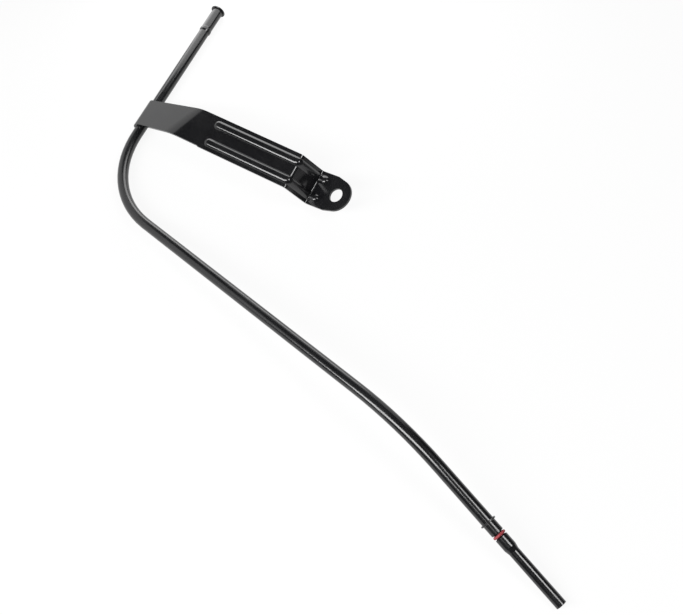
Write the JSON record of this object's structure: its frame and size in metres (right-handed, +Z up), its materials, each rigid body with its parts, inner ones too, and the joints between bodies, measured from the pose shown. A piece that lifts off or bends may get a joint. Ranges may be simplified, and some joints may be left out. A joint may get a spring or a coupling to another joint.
{
  "type": "oil dipstick tube",
  "caption": "Bent steel oil dipstick tube with a flared mouth, a collar and O-ring at its nose, and a folded, ribbed strap bracket that is brazed to it and bolted to the engine.",
  "frame": {"origin": "on the ground under the middle of the part's box, as the part lies at rest on its mouth's lip, the hook of its strap and the tip of its nose", "axes": "+Z up from the ground; the tube runs from its mouth at +Y, over its first bend at -X, to its nose at -Y and +X"},
  "size_m": [0.3413, 0.5682, 0.0455],
  "materials": {
    "tube_enamel": "gloss black enamel",
    "bracket_enamel": "gloss black enamel",
    "ring_rubber": "dark red rubber, satin"
  },
  "bodies": {
    "root": {"tube": "tube_enamel", "bracket": "bracket_enamel", "o_ring": "ring_rubber"}
  },
  "joints": []
}
